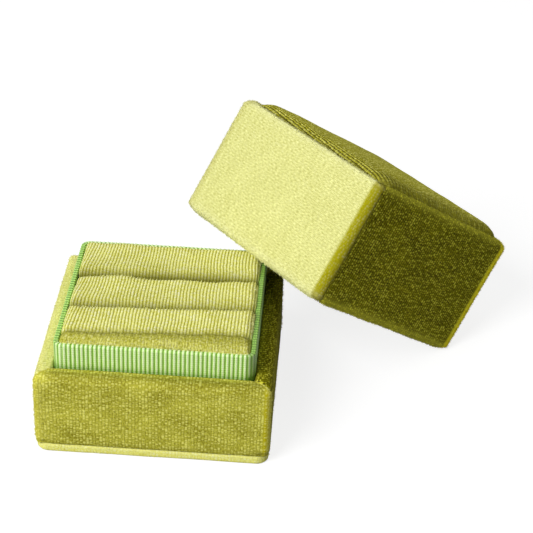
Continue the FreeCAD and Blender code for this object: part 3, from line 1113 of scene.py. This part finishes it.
def velvet_finish(name, root, body, tip, turned, rows, grains, glints=0.5, patches=0.5, rim=0.5,
                  bent=0.0, stitched=0.0, fineness=1.0, stroke=1.2):
    """Short pile from dark roots to pale tips. Rows paint light on the crests of the wales and shade in
    their grooves, grains streak the pile in strokes, glints are painted highlights in dashes on the crests,
    patches are where it was brushed, the rim is a painted highlight where the pile stands over an edge,
    shade is painted where the edge is below zero, and the bent part is where it is turned over, coloured
    partly with painted light."""
    material, tree, shader = surface(name)
    across, along, offset = woven_attribute(tree, "cloth")
    ribbed, _, edge = woven_attribute(tree, "pile")
    wale = single_attribute(tree, "wale")
    crown = abs((wale * math.pi).sine())
    grain = tree.noise(tree.vector(across * strokes_across, along * stroke, offset), fineness, 2.0, 0.6)
    strand = wale + (grain - 0.5) * strand_waver
    dash_place = tree.vector(strand.whole() * dash_stagger, along * dashes_along, offset)
    dashes = tree.noise(dash_place, 1.0, 1.0)
    crests = tree.between(abs((strand * math.pi).sine()), 0.15, 0.9)
    # Painted highlights: glints in dashes along the crests
    glint = tree.between(dashes, 0.45, 0.66) * crests * (ribbed * 0.7 + 0.3)
    patch_place = tree.vector(across * patch_across, along * patch_along, offset + patch_offset)
    brushed = tree.noise(patch_place, 1.0, 2.0)
    # Rows paint light on the wales' crests and shade in their grooves; grains and patches are the pile's own
    # tone
    tone = (grain - 0.5) * grains + (crown - crown_mean) * ribbed * rows + (brushed - 0.5) * patches + 0.5
    if stitched:
        tone = tone + tree.stitches(wale, along) * stitched
    colour = tree.mix(tone, root, body)
    # The turned band takes the colours of the turned pile, partly painted light round the corner
    if bent:
        bend = single_attribute(tree, "bend") * bent
        colour = tree.mix(bend * (1.8 - grain * 1.6), colour, turned[0])
        colour = tree.mix(bend - grain * 2.2 + turned[2], colour, turned[1])
        rim = rim * (1 - bend * 0.4)
    # Painted highlights: the glints, then the rim along the edges
    colour = tree.mix(glint * glints, colour, tip)
    colour = tree.mix(edge.above_zero() * (grain + 0.4) * rim, colour, tip)
    # Painted shade where the edge is below zero, towards a darkened root
    painted_shade = [painted_shade_share * channel for channel in root]
    colour = tree.mix((edge * -1).above_zero(), colour, painted_shade)
    height = grain + glint * glint_height + crown * rows
    normal = tree.node("ShaderNodeBump", {}, {"Strength": 0.6, "Distance": 0.07 * MM, "Height": height})
    join(tree, shader, Base_Color=colour, Normal=normal, Roughness=0.85, Specular_IOR_Level=0.06,
         Sheen_Weight=0.12, Sheen_Roughness=0.35, Sheen_Tint=(0.95, 0.9, 0.2, 1))
    return material


def grosgrain_finish(name, groove, side, crest, shaded_flank):
    """Ribbed ribbon: pale satin crests with fine cross threads and dark grooves, with a highlight painted on
    the crests and shade painted in the grooves; shade is also painted as deeper green on the flanks of the
    neck, near the ledge and on the right side."""
    material, tree, shader = surface(name)
    across, along, _ = woven_attribute(tree, "cloth")
    crown = abs((single_attribute(tree, "wale") * math.pi).sine())
    thread = (along * (TURN / thread_pitch)).sine() * 0.5 + 0.5
    uneven = tree.noise(tree.vector(across * 1.3, along * 0.5), 1.0, 2.0)
    # The ribs' own tones, with a painted highlight on the crests and painted shade in the grooves
    tone = crown ** 1.5 + thread * crown * thread_share + uneven * 0.2 - 0.2
    stops = ((0.22, groove), (0.55, side), (0.95, crest))
    colour = tree.node("ShaderNodeValToRGB", {"stops": stops}, {0: tone})
    # Painted shade: deeper green on the flanks
    shade = [0.6 * channel for channel in groove]
    colour = tree.mix(single_attribute(tree, "bend"), colour, tree.mix(tone, shade, shaded_flank))
    # Painted shade where the pile attribute is below zero
    sunk = woven_attribute(tree, "pile")[2] * -1
    colour = tree.mix(sunk.above_zero(), colour, shade)
    inputs = {"Strength": 0.8, "Distance": 0.06 * MM, "Height": thread + uneven}
    normal = tree.node("ShaderNodeBump", {}, inputs)
    join(tree, shader, Base_Color=colour, Normal=normal, Roughness=0.42, Specular_IOR_Level=0.5,
         Sheen_Weight=0.1, Sheen_Roughness=0.4, Sheen_Tint=(0.9, 1.0, 0.8, 1))
    return material


def woven_finish(name, dark, light):
    """Matt plain weave of the lining."""
    material, tree, shader = surface(name)
    place = tree.node("ShaderNodeTexCoord", {}, {}, "Object")
    x, y, z = tree.parts(place)
    threads = TURN / (weave_pitch * MM)
    warp = ((x + y) * threads).sine()
    weft = ((z + x * 0.5) * threads).sine()
    slub = tree.noise(place, 900.0, 3.0)
    tone = warp * weft * 0.25 + slub * 0.6 + 0.2
    colour = tree.mix(tone, dark, light)
    inputs = {"Strength": 0.3, "Distance": 0.05 * MM, "Height": warp * weft + slub}
    normal = tree.node("ShaderNodeBump", {}, inputs)
    join(tree, shader, Base_Color=colour, Normal=normal, Roughness=0.9, Specular_IOR_Level=0.1)
    return material


def board_finish(name, dark, light):
    """Raw board: flecked pulp with a faint lie of the fibres."""
    material, tree, shader = surface(name)
    place = tree.node("ShaderNodeTexCoord", {}, {}, "Object")
    pulp = tree.noise(place, 1400.0, 4.0, 0.7)
    flecks = tree.between(tree.noise(place, 2600.0, 1.0), 0.6, 0.7)
    colour = tree.mix(pulp, dark, light)
    colour = tree.mix(flecks * 0.4, colour, dark)
    normal = tree.node("ShaderNodeBump", {}, {"Strength": 0.4, "Distance": 0.05 * MM, "Height": pulp})
    join(tree, shader, Base_Color=colour, Normal=normal, Roughness=0.92, Specular_IOR_Level=0.15)
    return material


# Colours of the roots, the body and the tips of each pile. The velvets are copies of one cloth, partly
# for the lie of each panel's pile and partly painted light and shade: the palest where the lamp falls full
# on the lid's front, the deepest on the right sides in shade, the others at the light on their own pieces.
LIT_VELVET = velvet_finish(
    "lit_velvet", (0.48, 0.47, 0.10), (0.96, 0.96, 0.42), (1.0, 1.0, 0.66), LIT_BEND, rows=0.15,
    grains=2.2, glints=0.12, patches=0.3, rim=0.25, bent=1.0, fineness=1.7, stroke=0.6)
LIGHT_VELVET = velvet_finish(
    "light_velvet", (0.46, 0.45, 0.07), (0.94, 0.93, 0.28), (1.0, 1.0, 0.5), LIT_BEND, rows=0.2,
    grains=2.0, rim=0.4, bent=0.5)
MIDDLE_VELVET = velvet_finish(
    "middle_velvet", (0.26, 0.24, 0.015), (0.67, 0.64, 0.075), (1.0, 0.98, 0.25), LOW_BEND, rows=0.15,
    grains=2.8, glints=0.7, patches=1.1, rim=0.25, bent=1.0, fineness=1.2)
PLATE_VELVET = velvet_finish(
    "plate_velvet", (0.80, 0.74, 0.08), (1.0, 1.0, 0.24), (1.0, 1.0, 0.5), LIT_BEND, rows=0.1,
    grains=2.6, glints=0.8, patches=0.6)
CORDED_VELVET = velvet_finish(
    "corded_velvet", (0.48, 0.46, 0.035), (1.0, 1.0, 0.35), (1.0, 1.0, 0.70), CORD_BEND, rows=1.5,
    grains=2.4, glints=0.6, patches=0.9, rim=0.2, bent=0.75, stitched=0.15)
SHADED_VELVET = velvet_finish(
    "shaded_velvet", (0.04, 0.037, 0.0003), (0.265, 0.248, 0.0016), (0.90, 0.87, 0.08), DIM_BEND, rows=0.6,
    grains=2.4, glints=0.7, patches=0.8, rim=0.45, bent=1.0)
PAD_VELVET = velvet_finish(
    "pad_velvet", (0.10, 0.09, 0.003), (0.50, 0.47, 0.03), (0.92, 0.89, 0.22), LIT_BEND, rows=1.5,
    grains=1.8, glints=0.8, rim=0.3)
# Colours of the grooves, the sides, the crests with their painted highlight, and the flanks in painted shade
GROSGRAIN = grosgrain_finish("grosgrain", (0.19, 0.42, 0.03), (0.66, 1.0, 0.27), (0.86, 1.0, 0.60),
                             (0.50, 0.84, 0.18))
LINING = woven_finish("lining_weave", (0.24, 0.26, 0.06), (0.46, 0.48, 0.16))
GREYBOARD = board_finish("greyboard", (0.26, 0.24, 0.21), (0.46, 0.43, 0.38))


# Building

# Painted light and shade on the walls: the palest copy on the lid's lit front, the deepest on the right sides
BASE_FINISHES = {"front": MIDDLE_VELVET, "right": SHADED_VELVET, "back": LIGHT_VELVET, "left": LIGHT_VELVET}
LID_FINISHES = {"front": LIT_VELVET, "right": SHADED_VELVET, "back": MIDDLE_VELVET, "left": MIDDLE_VELVET}


def dress_walls(body, loops, wall, softening, place, finishes, cut_length):
    """Velvet panels of the base or the lid, each standing for its CAD panel, from each side's loop."""
    panels = []
    for side, finish in finishes.items():
        level_wales = body == "lid" and side == "front"
        seed = WALL_SEED * SIDES[side] + (LID_SEED if body == "lid" else 0.0)
        title = f"{body}_{side}_cloth"
        panel = wall_panel(title, side, loops[side], wall, softening, place, level_wales, seed)
        raised(panel, WALL_CLOTH, finish)
        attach(panel, body)
        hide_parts(f"{body}_velvet_{side}")
        cut_width = 2 * half + sum(corner_round if end[0] else -corner_round for end in ENDS[side])
        cut_width * MM
        cut_length * MM
        panels.append(panel)
    return panels


def finish_nodes():
    """Finishes of the CAD nodes that stay."""
    for name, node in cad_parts.items():
        finish = LINING if "lining" in name else GREYBOARD
        node.data.materials.clear()
        node.data.materials.append(finish)


# Stage

FLOOR_SIZE = 6.0
FLOOR_GLOW = 0.82
AMBIENT = 0.2
LAMP_AIM = (0.02, 0.015, 0.02)
LAMP_DISTANCE = 0.9


def shown_rays(tree):
    """One for a ray that shows the white surroundings, directly or in gloss or glass."""
    path = tree.node("ShaderNodeLightPath").socket.node
    rays = [Value(tree, path.outputs[f"Is {kind} Ray"]) for kind in ("Camera", "Glossy", "Transmission")]
    return rays[0].math("MINIMUM", rays[0] + rays[1] + rays[2], 1.0)


def stage():
    """White floor that glows where it is seen and takes a faint shadow."""
    bpy.ops.mesh.primitive_plane_add(size=FLOOR_SIZE)
    floor = bpy.context.object
    floor.name = "floor"
    material = bpy.data.materials.new("floor")
    material.use_nodes = True
    tree = Tree(material.node_tree)
    material.node_tree.nodes.clear()
    seen = shown_rays(tree)
    glow = tree.node("ShaderNodeEmission", {}, {"Color": (1, 1, 1, 1), "Strength": FLOOR_GLOW})
    shade = tree.node("ShaderNodeBsdfDiffuse", {}, {"Color": (0.3, 0.3, 0.3, 1)})
    lit = tree.node("ShaderNodeAddShader", {}, {0: glow, 1: shade})
    mixed = tree.node("ShaderNodeMixShader", {}, {0: seen, 1: shade, 2: lit})
    tree.node("ShaderNodeOutputMaterial", {}, {0: mixed})
    floor.data.materials.append(material)


def surroundings():
    world = bpy.data.worlds.new("surroundings")
    bpy.context.scene.world = world
    world.use_nodes = True
    tree = Tree(world.node_tree)
    world.node_tree.nodes.clear()
    seen = shown_rays(tree)
    strength = seen * (1 - AMBIENT) + AMBIENT
    sky = tree.node("ShaderNodeBackground", {}, {"Color": (1, 1, 1, 1), "Strength": strength})
    tree.node("ShaderNodeOutputWorld", {}, {0: sky})


def lamp(name, direction, size, power):
    """Soft square lamp that looks at the middle of the object."""
    data = bpy.data.lights.new(name, "AREA")
    data.size = size
    data.energy = power
    lamp_object = bpy.data.objects.new(name, data)
    way = Vector(direction).normalized()
    lamp_object.location = Vector(LAMP_AIM) + way * LAMP_DISTANCE
    lamp_object.rotation_euler = way.to_track_quat("Z", "Y").to_euler()
    bpy.context.scene.collection.objects.link(lamp_object)


def camera():
    """Camera at the photograph's viewing angle."""
    azimuth, elevation, roll = (math.radians(angle) for angle in (2.2155, 31.8443, 2.3156))
    distance = 421.06
    right_shift, up_shift = 25.0716, 14.1226
    aim_height = 20.0
    back = Vector((math.sin(azimuth) * math.cos(elevation), -math.cos(azimuth) * math.cos(elevation),
                   math.sin(elevation)))
    level = (-back).cross(Vector((0, 0, 1))).normalized()
    rise = level.cross(-back)
    right = level * math.cos(roll) + rise * math.sin(roll)
    up = rise * math.cos(roll) - level * math.sin(roll)
    place = Vector((0, 0, aim_height)) + right * right_shift + up * up_shift + back * distance
    data = bpy.data.cameras.new("camera")
    data.lens = 115.457
    data.clip_start = 0.01
    camera_object = bpy.data.objects.new("camera", data)
    turn = Matrix((right, up, back)).transposed().to_4x4()
    camera_object.matrix_world = Matrix.Translation(place * MM) @ turn
    bpy.context.scene.collection.objects.link(camera_object)
    bpy.context.scene.camera = camera_object


finish_nodes()
base_cut = 2 * (ledge - plate_top) + base_wall
lid_cut = lid_top + lid_wall + rim_turn_in + lip_width
base_loops = {side: base_loop(*shares) for side, shares in SHOULDERS.items()}
lid_loops = {side: lid_loop(share) for side, share in RIMS.items()}
base_softening = (BASE_RISE, BASE_DROP)
lid_softening = (LID_RISE, LID_DROP)
base_velvet = dress_walls("base", base_loops, base_wall, base_softening, BASE, BASE_FINISHES, base_cut)
lid_velvet = dress_walls("lid", lid_loops, lid_wall, lid_softening, LID, LID_FINISHES, lid_cut)
base_velvet.append(bottom_plate())
neck_ribbon()
lid_linings()
base_velvet.extend(cushion_bars())
padded_top()
edge_pile("base", base_velvet)
edge_pile("lid", lid_velvet)
stage()
surroundings()
lamp("key", (-0.50, -0.60, 0.62), 0.5, 7.6)
lamp("overhead", (0.1, 0.35, 0.93), 0.8, 1.0)
camera()
bpy.context.scene.view_settings.view_transform = "Standard"
